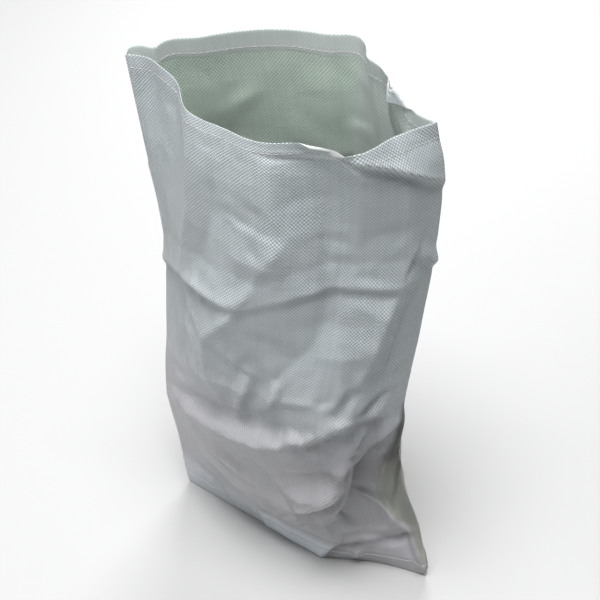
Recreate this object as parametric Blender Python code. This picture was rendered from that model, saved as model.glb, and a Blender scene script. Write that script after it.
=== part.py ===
"""Open woven polypropylene rubble sack, standing empty on its folded and sewn bottom.

The sack is a tube of woven tapes, 550 mm wide and 900 mm long when it lies flat. Its mouth has a folded
hem, its bottom a folded strip, and a line of sewing thread holds each. Metres, +Z up. The origin is on the
floor, under the middle of the sack. -Y is the front, which the sewn bottom edge runs along.
"""

import bpy
import numpy as np

WALL = 0.002                 # stands in for woven cloth of about 0.2 mm
HEM_WALL = 0.003             # the hem is folded over, so it is thicker
HEM_HEIGHT = 0.025
HEM_STITCH_DROP = 0.020      # below the rim
BASE_STITCH_HEIGHT = 0.030   # above the floor
STITCH_HEIGHT = 0.002
STITCH_THICKNESS = 0.0008
CLEARANCE = 0.0003           # between a thread and the cloth
STEPS_PER_COLUMN = 5         # mesh steps between two neighbouring columns
SHOULDER_DROP = 0.050        # the cloth is straight from here up to the rim
FLAT_WIDTH = 0.55            # one side of the tube laid flat
ROUND = 2 * FLAT_WIDTH
FOLDS_FROM = (0.035, 0.075)  # heights between which the folds begin, above the sewn bottom
FOLDS_TO = (0.66, 0.72)      # heights between which they end, below the hem

# The columns run once round the sack, seen from above: along the front from the left crease to the right
# crease, and back along the right side and the rear.
FRONT_COLUMNS = ("left", "front_left", "front_middle", "front_right", "valley", "right")
REAR_COLUMNS = ("right", "right_side", "rear_right", "rear_middle", "rear_left", "left")

# Height of each section above the floor, and where each column crosses it as (x, y).
SECTIONS = (
    (0.000, dict(left=(-0.182, 0.073), front_left=(-0.110, 0.018), front_middle=(-0.035, -0.040),
                 front_right=(0.036, -0.094), valley=(0.118, -0.104), right=(0.195, -0.133),
                 right_side=(0.120, -0.085), rear_right=(0.050, -0.015), rear_middle=(-0.035, 0.045),
                 rear_left=(-0.115, 0.080))),
    (0.030, dict(left=(-0.187, 0.074), front_left=(-0.115, 0.012), front_middle=(-0.035, -0.050),
                 front_right=(0.042, -0.104), valley=(0.110, -0.112), right=(0.193, -0.132),
                 right_side=(0.125, -0.070), rear_right=(0.060, 0.015), rear_middle=(-0.030, 0.075),
                 rear_left=(-0.120, 0.098))),
    (0.100, dict(left=(-0.195, 0.075), front_left=(-0.130, 0.000), front_middle=(-0.040, -0.075),
                 front_right=(0.055, -0.130), valley=(0.108, -0.110), right=(0.181, -0.128),
                 right_side=(0.135, -0.045), rear_right=(0.070, 0.050), rear_middle=(-0.030, 0.105),
                 rear_left=(-0.130, 0.115))),
    (0.200, dict(left=(-0.210, 0.076), front_left=(-0.145, -0.015), front_middle=(-0.050, -0.095),
                 front_right=(0.055, -0.150), valley=(0.118, -0.105), right=(0.152, -0.124),
                 right_side=(0.140, -0.020), rear_right=(0.080, 0.080), rear_middle=(-0.025, 0.130),
                 rear_left=(-0.135, 0.130))),
    (0.330, dict(left=(-0.203, 0.077), front_left=(-0.140, -0.035), front_middle=(-0.050, -0.115),
                 front_right=(0.045, -0.155), valley=(0.110, -0.140), right=(0.147, -0.118),
                 right_side=(0.145, 0.000), rear_right=(0.085, 0.100), rear_middle=(-0.020, 0.145),
                 rear_left=(-0.130, 0.140))),
    (0.480, dict(left=(-0.198, 0.079), front_left=(-0.130, -0.050), front_middle=(-0.045, -0.120),
                 front_right=(0.045, -0.155), valley=(0.112, -0.145), right=(0.165, -0.110),
                 right_side=(0.150, 0.005), rear_right=(0.088, 0.105), rear_middle=(-0.020, 0.148),
                 rear_left=(-0.130, 0.140))),
    (0.630, dict(left=(-0.214, 0.081), front_left=(-0.132, -0.058), front_middle=(-0.045, -0.125),
                 front_right=(0.045, -0.155), valley=(0.120, -0.145), right=(0.180, -0.104),
                 right_side=(0.148, 0.000), rear_right=(0.086, 0.102), rear_middle=(-0.020, 0.140),
                 rear_left=(-0.132, 0.130))),
    (0.740, dict(left=(-0.228, 0.083), front_left=(-0.138, -0.055), front_middle=(-0.045, -0.123),
                 front_right=(0.046, -0.160), valley=(0.122, -0.138), right=(0.180, -0.098),
                 right_side=(0.136, -0.020), rear_right=(0.080, 0.096), rear_middle=(-0.020, 0.128),
                 rear_left=(-0.134, 0.116))),
)
RIM = dict(left=(-0.234, 0.083, 0.790), front_left=(-0.141, -0.048, 0.780), front_middle=(-0.045, -0.120, 0.778),
           front_right=(0.048, -0.165, 0.789), valley=(0.116, -0.125, 0.791), right=(0.170, -0.096, 0.793),
           right_side=(0.120, -0.025, 0.799), rear_right=(0.077, 0.094, 0.808), rear_middle=(-0.020, 0.122, 0.808),
           rear_left=(-0.135, 0.111, 0.802))

# The main folds of the cloth. Each is a line of points: how far round the tube from the left crease, how far
# above the floor, and how far the cloth stands out there. Beside the line the cloth falls back evenly, over
# the first width on its upper or left side and over the second one on its lower or right side.
FOLDS = (
    (((0.195, 0.285, 0.006), (0.185, 0.340, 0.014), (0.180, 0.400, 0.022), (0.187, 0.440, 0.026),
      (0.227, 0.492, 0.026), (0.260, 0.535, 0.022), (0.285, 0.572, 0.016), (0.325, 0.650, 0.004)), 0.12, 0.14),
    (((0.427, 0.365, 0.004), (0.450, 0.424, 0.010), (0.461, 0.480, 0.016), (0.472, 0.528, 0.016),
      (0.490, 0.570, 0.006)), 0.09, 0.04),
    (((0.040, 0.470, 0.002), (0.110, 0.490, 0.008), (0.170, 0.508, 0.008), (0.240, 0.520, 0.002)), 0.045, 0.025),
    (((0.290, 0.350, 0.000), (0.340, 0.368, 0.009), (0.390, 0.375, 0.008), (0.440, 0.365, 0.000)), 0.08, 0.05),
    (((0.340, 0.300, 0.004), (0.368, 0.304, 0.012), (0.416, 0.332, 0.009), (0.468, 0.356, 0.006),
      (0.520, 0.346, 0.000)), 0.05, 0.025),
    (((0.050, 0.228, -0.002), (0.160, 0.266, -0.007), (0.260, 0.294, -0.008), (0.350, 0.302, 0.000)), 0.06, 0.025),
    (((0.045, 0.205, 0.002), (0.120, 0.228, 0.008), (0.182, 0.246, 0.012), (0.279, 0.258, 0.014),
      (0.320, 0.274, 0.014), (0.360, 0.298, 0.008)), 0.030, 0.07),
    (((0.080, 0.140, 0.002), (0.140, 0.125, 0.008), (0.230, 0.097, 0.010), (0.300, 0.095, 0.008)), 0.06, 0.025),
    (((0.250, 0.135, 0.000), (0.290, 0.158, -0.006), (0.342, 0.190, -0.010), (0.400, 0.212, -0.008)), 0.055, 0.030),
    (((0.325, 0.105, 0.004), (0.350, 0.138, 0.016), (0.385, 0.172, 0.022), (0.415, 0.200, 0.020),
      (0.437, 0.245, 0.010)), 0.05, 0.020),
    (((0.400, 0.100, -0.004), (0.430, 0.140, -0.012), (0.455, 0.190, -0.018), (0.480, 0.240, -0.012)), 0.03, 0.035),
    (((0.490, 0.160, 0.006), (0.509, 0.200, 0.014), (0.524, 0.240, 0.012), (0.537, 0.290, 0.004)), 0.045, 0.025),
    (((0.930, 0.100, 0.004), (0.915, 0.220, 0.014), (0.900, 0.340, 0.018), (0.875, 0.460, 0.012),
      (0.860, 0.580, 0.000)), 0.10, 0.08),
    (((0.730, 0.240, 0.000), (0.770, 0.320, 0.010), (0.830, 0.400, 0.012), (0.880, 0.450, 0.006)), 0.05, 0.09),
    (((0.700, 0.120, 0.004), (0.760, 0.150, 0.010), (0.840, 0.160, 0.012), (0.900, 0.140, 0.006)), 0.05, 0.03),
    (((0.960, 0.200, 0.000), (1.000, 0.230, 0.007), (1.050, 0.235, 0.006)), 0.035, 0.025),
    (((0.620, 0.050, -0.004), (0.635, 0.150, -0.009), (0.640, 0.260, -0.009), (0.650, 0.380, 0.000)), 0.045, 0.05),
)


def curve_through(points, stations, where):
    """Smooth curve through points: between two of them it is the cubic that has their slopes."""
    points = np.asarray(points, float)
    stations = np.asarray(stations, float)
    slopes = np.gradient(points, stations, axis=0)
    first = np.clip(np.searchsorted(stations, where, side="right") - 1, 0, len(stations) - 2)
    span = stations[first + 1] - stations[first]
    t = (where - stations[first]) / span
    shape = (-1,) + (1,) * (points.ndim - 1)
    t = t.reshape(shape)
    span = span.reshape(shape)
    start = (2 * t**3 - 3 * t**2 + 1) * points[first] + (t**3 - 2 * t**2 + t) * span * slopes[first]
    end = (3 * t**2 - 2 * t**3) * points[first + 1] + (t**3 - t**2) * span * slopes[first + 1]
    return start + end


def ring(section):
    """One closed loop through a section's columns, with a sharp crease at the left and the right."""
    runs = []
    for names in (FRONT_COLUMNS, REAR_COLUMNS):
        points = [section[name] for name in names]
        where = np.arange((len(points) - 1) * STEPS_PER_COLUMN) / STEPS_PER_COLUMN
        runs.append(curve_through(points, range(len(points)), where))
    return np.concatenate(runs)


def section_rings():
    """All sections as loops of the same number of points, and the heights that they stand for."""
    heights = [height for height, _ in SECTIONS]
    loops = []
    for height, section in SECTIONS:
        flat = ring(section)
        loops.append(np.column_stack([flat, np.full(len(flat), height)]))
    return np.array(loops), np.array(heights)


def place_round(row):
    """How far round the tube each point of a row lies, with each half of the row given half of the tube."""
    front = (len(FRONT_COLUMNS) - 1) * STEPS_PER_COLUMN
    step = np.linalg.norm(np.roll(row, -1, axis=0) - row, axis=1)
    halves = []
    for start, half in ((0.0, step[:front]), (FLAT_WIDTH, step[front:])):
        before = np.concatenate([[0.0], half.cumsum()[:-1]])
        halves.append(start + FLAT_WIDTH * before / half.sum())
    return np.concatenate(halves)


def smoothstep(value, low, high):
    """0 up to low, 1 from high, and an even change of slope between."""
    value = np.clip((value - low) / (high - low), 0.0, 1.0)
    return value * value * (3 - 2 * value)


def fold_heights(around, up):
    """How far the folds move the cloth outwards at places round the tube and up it."""
    places = np.stack([around, np.full(len(around), up)], -1)
    total = np.zeros(len(around))
    for line, above, below in FOLDS:
        line = np.array(line)
        nearest = np.full(len(around), np.inf)
        moved = np.zeros(len(around))
        for start, end in zip(line[:-1], line[1:]):
            along = end[:2] - start[:2]
            away = places - start[:2]
            away[:, 0] -= ROUND * np.round(away[:, 0] / ROUND)
            part = np.clip((away @ along) / (along @ along), 0.0, 1.0)
            gap = away - part[:, None] * along
            distance = np.hypot(gap[:, 0], gap[:, 1])
            side = along[0] * gap[:, 1] - along[1] * gap[:, 0]
            slope = np.clip(1 - distance / np.where(side > 0, above, below), 0.0, 1.0)
            moved = np.where(distance < nearest, (start[2] + part * (end[2] - start[2])) * slope, moved)
            nearest = np.minimum(nearest, distance)
        total += moved
    return total * smoothstep(up, *FOLDS_FROM) * (1 - smoothstep(up, *FOLDS_TO))


def smooth_rows(heights):
    """Rows of the outside without its folds, from the floor to the shoulder under the hem."""
    loops, stations = section_rings()
    return curve_through(loops, stations, np.asarray(heights, float))


def outer_rows(heights):
    """Rows of the outside at the given heights, each moved outwards in plan by the folds that cross it."""
    rows = smooth_rows(heights)
    return np.array([inward_in_plan(row, -fold_heights(place_round(row), row[0, 2])[:, None]) for row in rows])


def rows_below_rim(drops):
    """Rows of the outside at the given distances below the rim, on straight lines to the shoulder."""
    rim = ring(RIM)
    shoulder = outer_rows([RIM["front_left"][2] - SHOULDER_DROP])[0]
    down = shoulder - rim
    down /= np.linalg.norm(down, axis=1, keepdims=True)
    return np.array([rim + drop * down for drop in drops])


def grid_normals(rows):
    """Outward normal at each point of a grid of closed rows, from its neighbours' differences."""
    around = np.roll(rows, -1, axis=1) - np.roll(rows, 1, axis=1)
    upward = np.gradient(rows, axis=0)
    normals = np.cross(around, upward)
    return normals / np.linalg.norm(normals, axis=2, keepdims=True)


def inward_in_plan(row, distance):
    """Row moved inwards in plan, so that each of its edges moves by the distance."""
    edge = np.roll(row, -1, axis=0) - row
    edge[:, 2] = 0
    edge /= np.linalg.norm(edge, axis=1, keepdims=True)
    inward = np.column_stack([-edge[:, 1], edge[:, 0], np.zeros(len(row))])
    before = np.roll(inward, 1, axis=0)
    corner = inward + before
    corner /= np.linalg.norm(corner, axis=1, keepdims=True)
    reach = np.sum(corner * inward, axis=1, keepdims=True)
    return row + corner * distance / np.maximum(reach, 0.25)


def closed_tube(rows):
    """Faces between rows of points that each close on themselves."""
    count = rows.shape[1]
    here = np.arange(count)
    after = (here + 1) % count
    faces = []
    for row in range(len(rows) - 1):
        low = row * count
        high = low + count
        quads = np.column_stack([low + here, low + after, high + after, high + here])
        faces += quads.tolist()
    return faces


def add_object(name, points, faces, material):
    """Mesh object with one material, at the origin."""
    mesh = bpy.data.meshes.new(name)
    mesh.from_pydata(points.tolist(), [], faces)
    mesh.materials.append(material)
    mesh.update()
    item = bpy.data.objects.new(name, mesh)
    bpy.context.scene.collection.objects.link(item)
    return item


def plain_material(name, color, roughness):
    """Principled material of one colour."""
    material = bpy.data.materials.new(name)
    material.use_nodes = True
    shader = material.node_tree.nodes["Principled BSDF"]
    shader.inputs["Base Color"].default_value = (*color, 1.0)
    shader.inputs["Roughness"].default_value = roughness
    shader.inputs["Metallic"].default_value = 0.0
    return material


def make_body(material):
    """The woven tube: outside, rim, inside with the hem's extra layer, and the flat bottom."""
    side_heights = [0.0, 0.015, 0.030, 0.055, 0.080, 0.105, 0.130, 0.155, 0.180, 0.205, 0.230, 0.255, 0.280,
                    0.305, 0.335, 0.370, 0.405, 0.440, 0.475, 0.510, 0.540, 0.575, 0.615, 0.655, 0.690]
    side = outer_rows(side_heights)
    top = rows_below_rim([SHOULDER_DROP, HEM_HEIGHT + 0.002, HEM_HEIGHT, HEM_STITCH_DROP, 0.010, 0.0])
    outside = np.concatenate([side, top])
    hem_rows = 4
    inside = []
    for number, row in enumerate(outside):
        in_hem = number >= len(outside) - hem_rows
        inside.append(inward_in_plan(row, HEM_WALL if in_hem else WALL))
    inside = np.array(inside)
    inside[0, :, 2] = WALL
    rows = np.concatenate([outside, inside[::-1]])
    faces = closed_tube(rows)
    count = rows.shape[1]
    last = (len(rows) - 1) * count
    faces.append(list(range(count))[::-1])
    faces.append(list(range(last, last + count)))
    return add_object("sack_body", rows.reshape(-1, 3), faces, material)


def make_thread_ring(name, rows, material):
    """Closed band of thread over two close rows of the cloth's outside."""
    normals = grid_normals(rows)
    near = rows + normals * CLEARANCE
    far = rows + normals * (CLEARANCE + STITCH_THICKNESS)
    loops = np.array([near[0], far[0], far[1], near[1], near[0]])
    faces = closed_tube(loops)
    count = loops.shape[1]
    last = 4 * count
    faces = [[index - last if index >= last else index for index in face] for face in faces]
    return add_object(name, loops[:4].reshape(-1, 3), faces, material)


def make_thread_run(name, rows, first, last, material):
    """Open band of thread over two close rows, from one point of the row to another."""
    normals = grid_normals(rows)
    near = (rows + normals * CLEARANCE)[:, first:last]
    far = (rows + normals * (CLEARANCE + STITCH_THICKNESS))[:, first:last]
    profile = np.array([near[0], near[1], far[1], far[0]]).transpose(1, 0, 2)
    faces = closed_tube(profile)
    end = (len(profile) - 1) * 4
    faces.append([3, 2, 1, 0])
    faces.append([end, end + 1, end + 2, end + 3])
    return add_object(name, profile.reshape(-1, 3), faces, material)


def make_sack():
    """The three pieces of the sack."""
    for item in list(bpy.data.objects):
        bpy.data.objects.remove(item, do_unlink=True)
    cloth = plain_material("woven polypropylene", (0.48, 0.50, 0.52), 0.45)
    thread = plain_material("sewing thread", (0.70, 0.72, 0.72), 0.70)
    make_body(cloth)
    half = STITCH_HEIGHT / 2
    hem_rows = rows_below_rim([HEM_STITCH_DROP + half, HEM_STITCH_DROP - half])
    make_thread_ring("hem_stitching", hem_rows, thread)
    base_rows = outer_rows([BASE_STITCH_HEIGHT - half, BASE_STITCH_HEIGHT + half])
    front_points = (len(FRONT_COLUMNS) - 1) * STEPS_PER_COLUMN
    make_thread_run("base_stitching", base_rows, 1, front_points, thread)


make_sack()
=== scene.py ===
# %% [markdown]
# # An empty woven rubble sack
# A rubble sack is one tube of flat plastic tapes, woven round so that it has no side seam. The mouth is
# folded over and sewn, and so is the bottom. The frame is loaded first. It holds the plain solids that the
# finished sack has to fit.

# %% The frame
import math

import bpy
import numpy as np
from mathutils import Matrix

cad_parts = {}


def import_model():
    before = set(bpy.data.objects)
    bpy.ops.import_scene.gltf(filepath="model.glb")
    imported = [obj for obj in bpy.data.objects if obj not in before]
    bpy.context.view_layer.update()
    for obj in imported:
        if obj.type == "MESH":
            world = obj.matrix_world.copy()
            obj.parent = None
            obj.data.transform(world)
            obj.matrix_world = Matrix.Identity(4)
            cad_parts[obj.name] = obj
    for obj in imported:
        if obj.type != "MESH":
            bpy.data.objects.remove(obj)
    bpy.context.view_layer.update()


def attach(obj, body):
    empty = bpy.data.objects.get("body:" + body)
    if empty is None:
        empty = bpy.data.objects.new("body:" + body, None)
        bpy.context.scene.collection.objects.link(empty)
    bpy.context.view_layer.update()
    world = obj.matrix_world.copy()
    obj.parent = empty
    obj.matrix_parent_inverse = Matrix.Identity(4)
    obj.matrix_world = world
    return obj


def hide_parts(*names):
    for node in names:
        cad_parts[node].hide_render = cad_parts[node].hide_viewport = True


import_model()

# %% [markdown]
# ## The camera
# The tapes look as wide low on the sack as at its mouth, so the photograph was taken with a long lens from
# some way off. A 90 mm lens 2.4 m away, looking 38 degrees down, gives the same perspective.

# %% The camera
LENS_MM = 90.0
SENSOR_MM = 36.0
CAMERA_PLACE = (0.0, -1.699, 1.765)
CAMERA_PITCH = math.radians(38.0)


def add_object(name, data):
    """New object in the scene, at the origin."""
    thing = bpy.data.objects.new(name, data)
    bpy.context.scene.collection.objects.link(thing)
    return thing


def add_camera():
    """Camera at the photograph's viewing angle."""
    data = bpy.data.cameras.new("camera")
    data.lens = LENS_MM
    data.sensor_width = SENSOR_MM
    camera = add_object("camera", data)
    camera.location = CAMERA_PLACE
    camera.rotation_euler = (math.pi / 2 - CAMERA_PITCH, 0.0, 0.0)
    bpy.context.scene.camera = camera


add_camera()
print("camera", CAMERA_PLACE, "lens", LENS_MM)

# %% [markdown]
# ## The shape of the tube
# A cloth tube that stands by itself has a few firm columns and loose cloth between them. The sections
# below say where ten such columns cross a height above the floor. A smooth curve through each section, and
# another up each column, gives the whole wall as a grid of two parameters: how far round, and how far up.

# %% Sizes of the sack
FLAT_WIDTH = 0.55  # one side of the tube laid flat
ROUND = 2 * FLAT_WIDTH
HEM_HEIGHT = 0.025
HEM_STITCH_DROP = 0.020  # below the rim
BASE_STITCH_HEIGHT = 0.030  # above the floor
MOUTH = 0.79  # mean height of the rim
FRONT_STEPS = 148  # grid steps round the front half
REAR_STEPS = 76
FINE_FROM = 0.72  # above this the rows are closer, for the hem
WALL_ROWS = 180
FINE_ROWS = 36
MM = 1000  # millimetres in a metre

# %% Sections
# Tables of points are in millimetres. A section is a height and the x and y of its columns: left crease,
# front left, front middle, front right, valley, right crease, right side, rear right, rear middle, rear
# left. Those of the rim have their own heights.
RIGHT_CREASE = 5  # its place among the columns
SECTIONS = (
    (0, ((-182, 73), (-110, 18), (-35, -40), (36, -94), (118, -104),
         (195, -133), (120, -85), (50, -15), (-35, 45), (-115, 80))),
    (30, ((-187, 74), (-115, 12), (-35, -50), (42, -104), (110, -112),
          (193, -132), (125, -70), (60, 15), (-30, 75), (-120, 98))),
    (100, ((-195, 75), (-130, 0), (-40, -75), (55, -130), (108, -110),
           (181, -128), (135, -45), (70, 50), (-30, 105), (-130, 115))),
    (200, ((-210, 76), (-145, -15), (-50, -95), (55, -150), (118, -105),
           (152, -124), (140, -20), (80, 80), (-25, 130), (-135, 130))),
    (330, ((-203, 77), (-140, -35), (-50, -115), (45, -155), (110, -140),
           (147, -118), (145, 0), (85, 100), (-20, 145), (-130, 140))),
    (480, ((-198, 79), (-130, -50), (-45, -120), (45, -155), (112, -145),
           (165, -110), (150, 5), (88, 105), (-20, 148), (-130, 140))),
    (630, ((-214, 81), (-132, -58), (-45, -125), (45, -155), (120, -145),
           (180, -104), (148, 0), (86, 102), (-20, 140), (-132, 130))),
    (740, ((-228, 83), (-138, -55), (-45, -123), (46, -160), (122, -138),
           (180, -98), (136, -20), (80, 96), (-20, 128), (-134, 116))),
)
RIM = ((-234, 83, 790), (-141, -48, 780), (-45, -120, 778), (48, -165, 789), (116, -125, 791),
       (170, -96, 793), (120, -25, 799), (77, 94, 808), (-20, 122, 808), (-135, 111, 802))
print("sections", len(SECTIONS), "of", len(RIM), "columns")

# %% Curves through points
SECTION_SAMPLES = 400  # points of a curve before it is cut into even steps
RIM_SAMPLES = 600


def curve_through(points, stations, where):
    """Smooth curve through points: between two of them it is the cubic that has their slopes."""
    points = np.asarray(points, float)
    stations = np.asarray(stations, float)
    slopes = np.gradient(points, stations, axis=0)
    first = np.clip(np.searchsorted(stations, where, side="right") - 1, 0, len(stations) - 2)
    span = stations[first + 1] - stations[first]
    t = (where - stations[first]) / span
    shape = (-1,) + (1,) * (points.ndim - 1)
    t = t.reshape(shape)
    span = span.reshape(shape)
    start = (2 * t**3 - 3 * t**2 + 1) * points[first] + (t**3 - 2 * t**2 + t) * span * slopes[first]
    end = (3 * t**2 - 2 * t**3) * points[first + 1] + (t**3 - t**2) * span * slopes[first + 1]
    return start + end


def path_length(curve):
    """Length along a curve up to each of its points."""
    return np.concatenate([[0.0], np.linalg.norm(np.diff(curve, axis=0), axis=1).cumsum()])


def along_line(line, length, wanted):
    """Points of a line at the wanted lengths along it."""
    return np.stack([np.interp(wanted, length, line[:, axis]) for axis in range(3)], axis=-1)


def even_steps(curve, count):
    """The curve's points moved along it, so that all count steps have the same length."""
    length = path_length(curve)
    return along_line(curve, length, np.linspace(0.0, length[-1], count + 1))


def loop_through(front, rear, samples, by_length):
    """One loop of grid columns through the points of its front and its rear, with a sharp crease where the
    two meet. The curves run by the length from point to point, or else by the number of the point."""
    halves = []
    for points, steps in ((front, FRONT_STEPS), (rear, REAR_STEPS)):
        points = np.array(points) / MM
        stations = path_length(points) if by_length else np.arange(len(points))
        fine = curve_through(points, stations, np.linspace(0.0, stations[-1], samples))
        halves.append(even_steps(fine, steps)[:-1])
    return np.concatenate(halves)


def section_loop(columns):
    """The loop through a section's columns."""
    rear = columns[RIGHT_CREASE:] + columns[:1]
    return loop_through(columns[:RIGHT_CREASE + 1], rear, SECTION_SAMPLES, by_length=False)


# %% The smooth wall
ROW_HEIGHTS = np.concatenate([np.linspace(0.0, FINE_FROM, WALL_ROWS, endpoint=False),
                              np.linspace(FINE_FROM, MOUTH, FINE_ROWS + 1)])
AROUND_PLACE = np.concatenate([np.linspace(0.0, FLAT_WIDTH, FRONT_STEPS + 1)[:-1],
                               np.linspace(FLAT_WIDTH, ROUND, REAR_STEPS + 1)[:-1]])


def smooth_wall():
    """Points of the wall: rows go up from the floor to the rim, columns go round from the left crease."""
    loops = [section_loop([(*column, height) for column in columns]) for height, columns in SECTIONS]
    loops.append(section_loop(RIM))
    heights = [height / MM for height, _ in SECTIONS] + [MOUTH]
    return curve_through(np.array(loops), heights, ROW_HEIGHTS)


wall = smooth_wall()
print("wall grid", wall.shape)

# %% [markdown]
# ## The rim and the foot
# The hem makes the rim the stiffest line of the sack, so it keeps small bends that the wall below soon
# loses. It is given by more points than a section, and what they add fades out over a hand's length. The
# sewn foot is stiff too, with a sharp corner in front.

# %% Bends of the rim and the foot
RIM_FRONT = ((-234, 83, 790), (-205, 75, 790), (-185, 50, 790), (-163, 20, 786), (-141, -48, 780),
             (-94, -88, 778), (-43, -121, 778), (6, -125, 782), (36, -146, 790), (60, -163, 790),
             (115, -128, 792), (170, -96, 793))
RIM_REAR = ((170, -96, 793), (150, -83, 795), (138, -72, 797), (113, 1, 803), (104, 24, 806),
            (89, 42, 808), (87, 74, 808), (77, 94, 808), (30, 110, 808), (-20, 122, 808),
            (-80, 120, 806), (-134, 107, 804), (-188, 97, 799), (-194, 91, 796), (-211, 99, 795),
            (-229, 101, 792), (-234, 83, 790))
RIM_FADE = 0.24
FOOT_FRONT = ((-182, 73, 0), (-110, 18, 0), (-35, -40, 0), (24, -85.5, 0), (36, -94.5, 0), (50, -96, 0),
              (118, -105, 0), (195, -133, 0))
FOOT_REAR = ((195, -133, 0), (120, -85, 0), (50, -15, 0), (-35, 45, 0), (-115, 80, 0), (-182, 73, 0))
FOOT_FADE = 0.05


def smoothstep(value):
    """0 up to 0, 1 from 1, and 3v^2 - 2v^3 between."""
    value = np.clip(value, 0.0, 1.0)
    return value * value * (3 - 2 * value)


def after(start, values):
    """0 up to a start and 1 well after it. The start is given as its place and the width of its blend."""
    place, blend = start
    return smoothstep((values - place) / blend)


def before(end, values):
    """1 well before an end and 0 from it on, with the end given in the same way."""
    place, blend = end
    return smoothstep((place - values) / blend)


near_rim = smoothstep(1 - (MOUTH - ROW_HEIGHTS) / RIM_FADE)[:, None, None]
near_foot = smoothstep(1 - ROW_HEIGHTS / FOOT_FADE)[:, None, None]
wall = (wall + near_rim * (loop_through(RIM_FRONT, RIM_REAR, RIM_SAMPLES, by_length=True) - wall[-1])
        + near_foot * (loop_through(FOOT_FRONT, FOOT_REAR, RIM_SAMPLES, by_length=True) - wall[0]))
print("metres round the rim and the foot", [path_length(wall[row])[-1].round(3) for row in (-1, 0)])

# %% [markdown]
# ## Folds and creases
# Stiff woven plastic doesn't drape in soft waves. It breaks into flat facets that meet at straight creases,
# and it keeps the creases of the flat bundle it was sold in. Each crease below is a line on the cloth, given
# by how far round from the left crease and how far up it runs, with how far it stands out there. From the
# line the cloth falls back in a straight slope, often steep on one side and gentle on the other, which gives
# a fold its light side and its dark side.

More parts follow.
